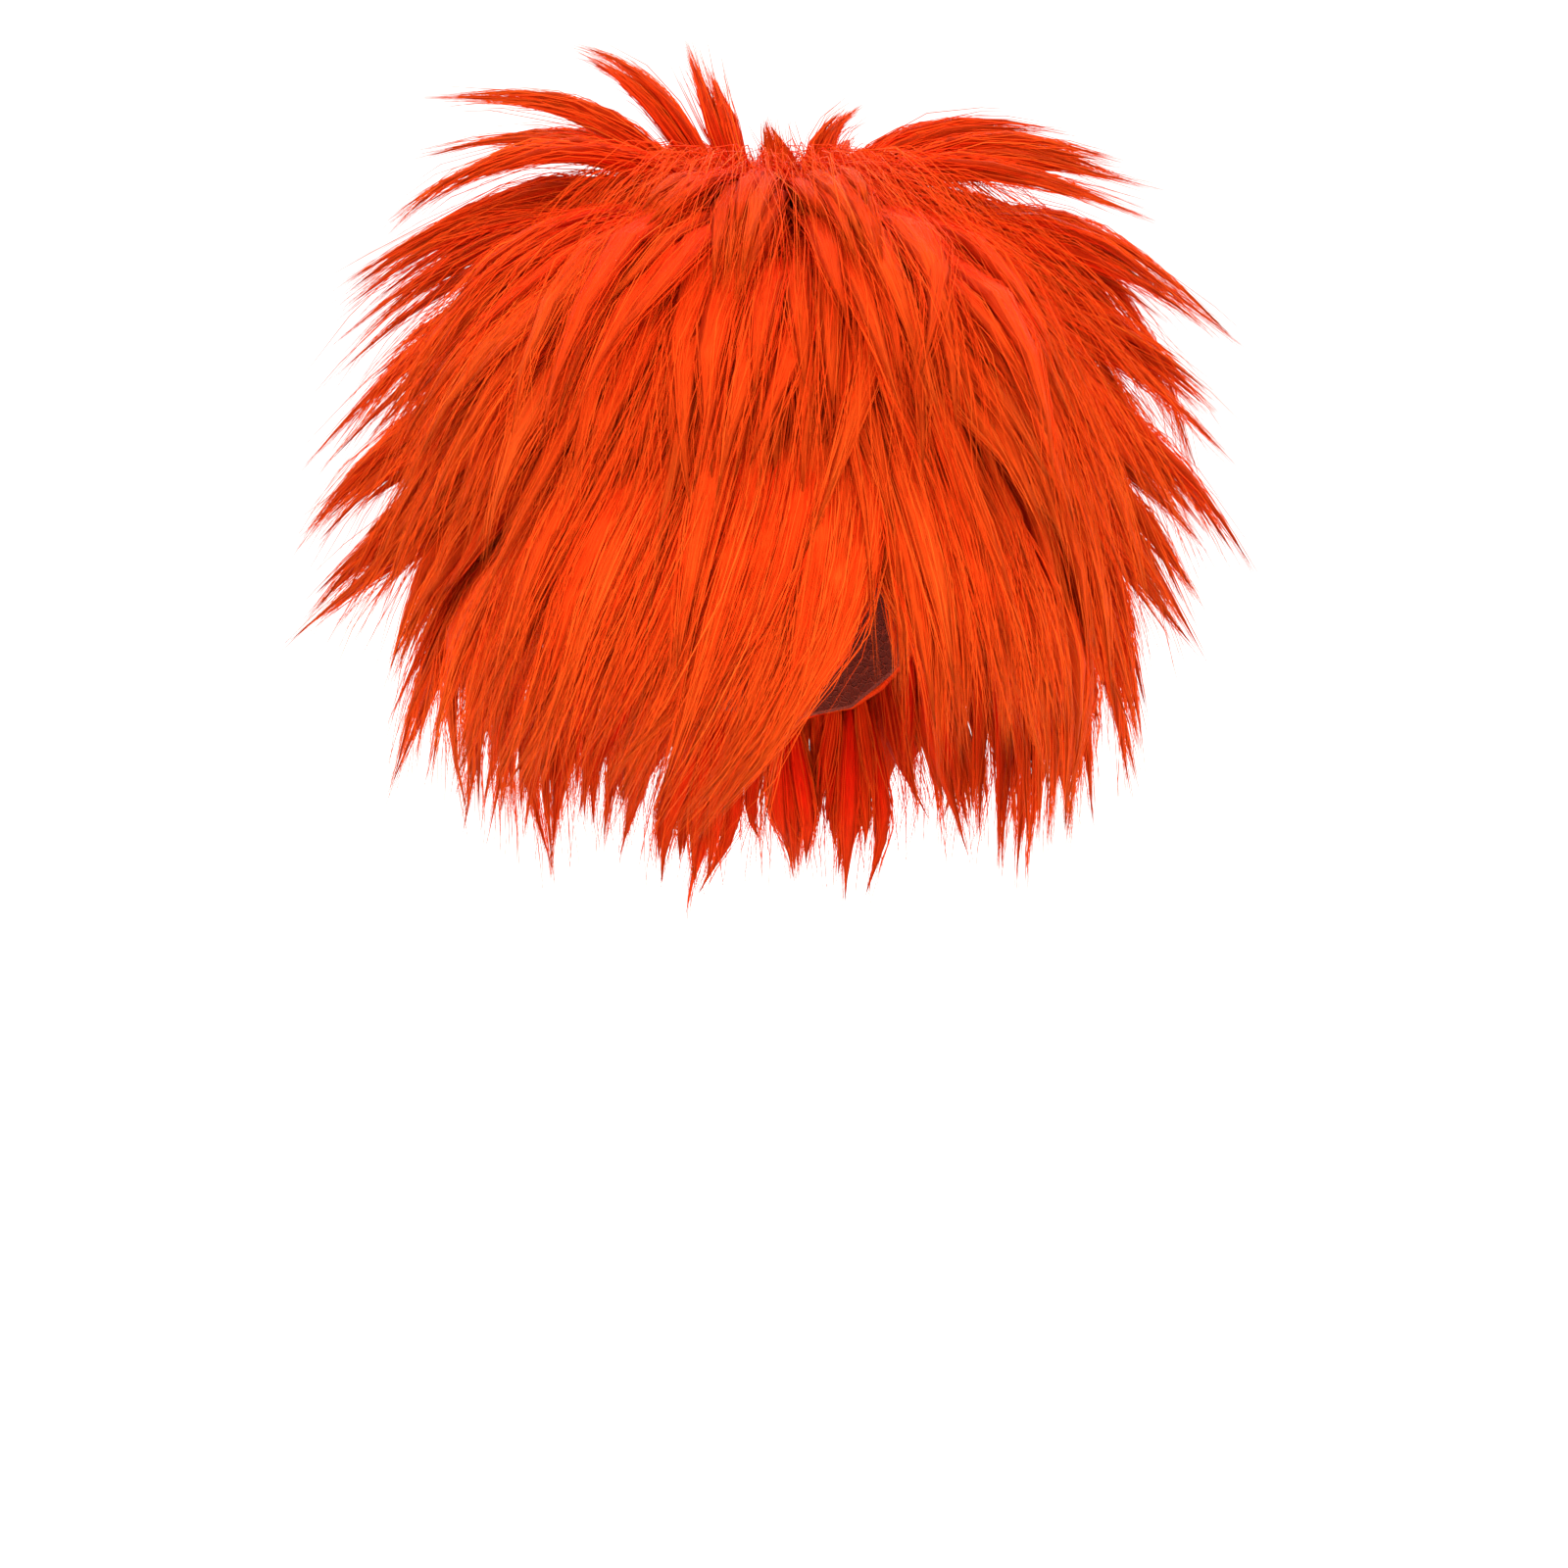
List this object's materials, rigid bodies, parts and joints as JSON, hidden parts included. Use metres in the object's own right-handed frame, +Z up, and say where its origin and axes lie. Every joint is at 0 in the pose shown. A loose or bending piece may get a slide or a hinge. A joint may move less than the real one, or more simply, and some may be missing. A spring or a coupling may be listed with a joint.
{
  "type": "spiky dress-up wig",
  "caption": "Short layered dress-up wig: a hollow elastic cap with rows of long, pointed orange-red locks that fan from the crown, a side-swept fringe and loose crown tufts.",
  "frame": {"origin": "the inside top of the cap, where it bears on the crown of a head", "axes": "+Z up along the head's upright axis, -Y out of the face, +X towards the side that is on the right seen from the front"},
  "size_m": [0.3696, 0.3186, 0.3467],
  "materials": {
    "hair": "silky synthetic fibre",
    "cap": "elastic net"
  },
  "bodies": {
    "root": {"cap": "cap", "crown_tufts": "hair", "top_weft": "hair", "upper_weft": "hair", "middle_weft": "hair", "fringe_left": "hair", "fringe_right": "hair", "ear_weft": "hair", "lower_weft": "hair", "nape_weft": "hair"}
  },
  "joints": []
}
